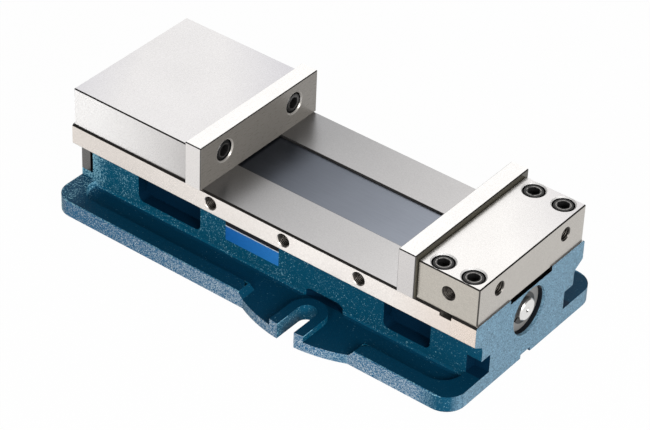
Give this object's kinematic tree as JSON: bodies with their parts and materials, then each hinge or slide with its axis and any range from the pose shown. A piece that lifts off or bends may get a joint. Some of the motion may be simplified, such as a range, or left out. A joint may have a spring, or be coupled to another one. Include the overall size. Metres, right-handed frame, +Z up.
{
  "type": "machine vise",
  "caption": "Angle lock machine vise: a screw draws a movable jaw along ground rails towards a bolted fixed jaw, over a cast base with open clamp slots",
  "frame": {"origin": "centre of the underside, on the table plane midway along the bed", "axes": "+X along the screw from the drive hexagon to the fixed jaw, +Z up, +Y completes the frame"},
  "size_m": [0.4733, 0.238, 0.1192],
  "materials": {
    "vise_body": "blue-grey hammered enamel on the casting, ground on the rails",
    "front_bearing_plate": "machined",
    "front_plate_screws": "black oxide",
    "fixed_thrust_race": "hardened and ground",
    "moving_thrust_race": "hardened and ground",
    "thrust_cage": "turned",
    "thrust_balls": "polished",
    "lead_screw": "machined",
    "front_collar": "turned",
    "collar_set_screw": "black oxide",
    "rear_bushing": "turned",
    "rear_retaining_ring": "spring steel",
    "fixed_jaw": "ground",
    "fixed_jaw_bolts": "black oxide",
    "fixed_jaw_keys": "ground",
    "fixed_jaw_plate": "hardened and ground",
    "fixed_plate_screws": "black oxide",
    "movable_jaw": "ground",
    "movable_jaw_plate": "hardened and ground",
    "movable_plate_screws": "black oxide",
    "jaw_nut": "machined",
    "half_ball": "hardened and polished",
    "jaw_set_screw": "black oxide",
    "chip_cover": "rolled sheet",
    "chip_cover_screws": "black oxide"
  },
  "bodies": {
    "bed": {"vise_body": "vise_body", "front_bearing_plate": "front_bearing_plate", "front_plate_screws": "front_plate_screws", "fixed_thrust_race": "fixed_thrust_race", "rear_bushing": "rear_bushing", "fixed_jaw": "fixed_jaw", "fixed_jaw_bolts": "fixed_jaw_bolts", "fixed_jaw_keys": "fixed_jaw_keys", "fixed_jaw_plate": "fixed_jaw_plate", "fixed_plate_screws": "fixed_plate_screws"},
    "screw": {"lead_screw": "lead_screw", "front_collar": "front_collar", "collar_set_screw": "collar_set_screw", "moving_thrust_race": "moving_thrust_race", "rear_retaining_ring": "rear_retaining_ring"},
    "ball_cage": {"thrust_cage": "thrust_cage", "thrust_balls": "thrust_balls"},
    "carriage": {"movable_jaw": "movable_jaw", "movable_jaw_plate": "movable_jaw_plate", "movable_plate_screws": "movable_plate_screws", "jaw_nut": "jaw_nut", "half_ball": "half_ball", "jaw_set_screw": "jaw_set_screw", "chip_cover": "chip_cover", "chip_cover_screws": "chip_cover_screws"}
  },
  "joints": [
    {"name": "screw_spin", "type": "hinge", "parent": "bed", "child": "screw", "pos_m": [0, 0, 0.0475], "axis": [1, 0, 0], "range_deg": [0, 15077]},
    {"name": "jaw_slide", "type": "slide", "parent": "bed", "child": "carriage", "axis": [1, 0, 0], "range_m": [0, 0.2094]},
    {"name": "cage_spin", "type": "hinge", "parent": "bed", "child": "ball_cage", "pos_m": [0, 0, 0.0475], "axis": [1, 0, 0], "range_deg": [0, 7539]}
  ],
  "couplings": [
    {"joint": "screw_spin", "follows": "jaw_slide", "rad_per_m": 1256.6},
    {"joint": "cage_spin", "follows": "jaw_slide", "rad_per_m": 628.32}
  ]
}
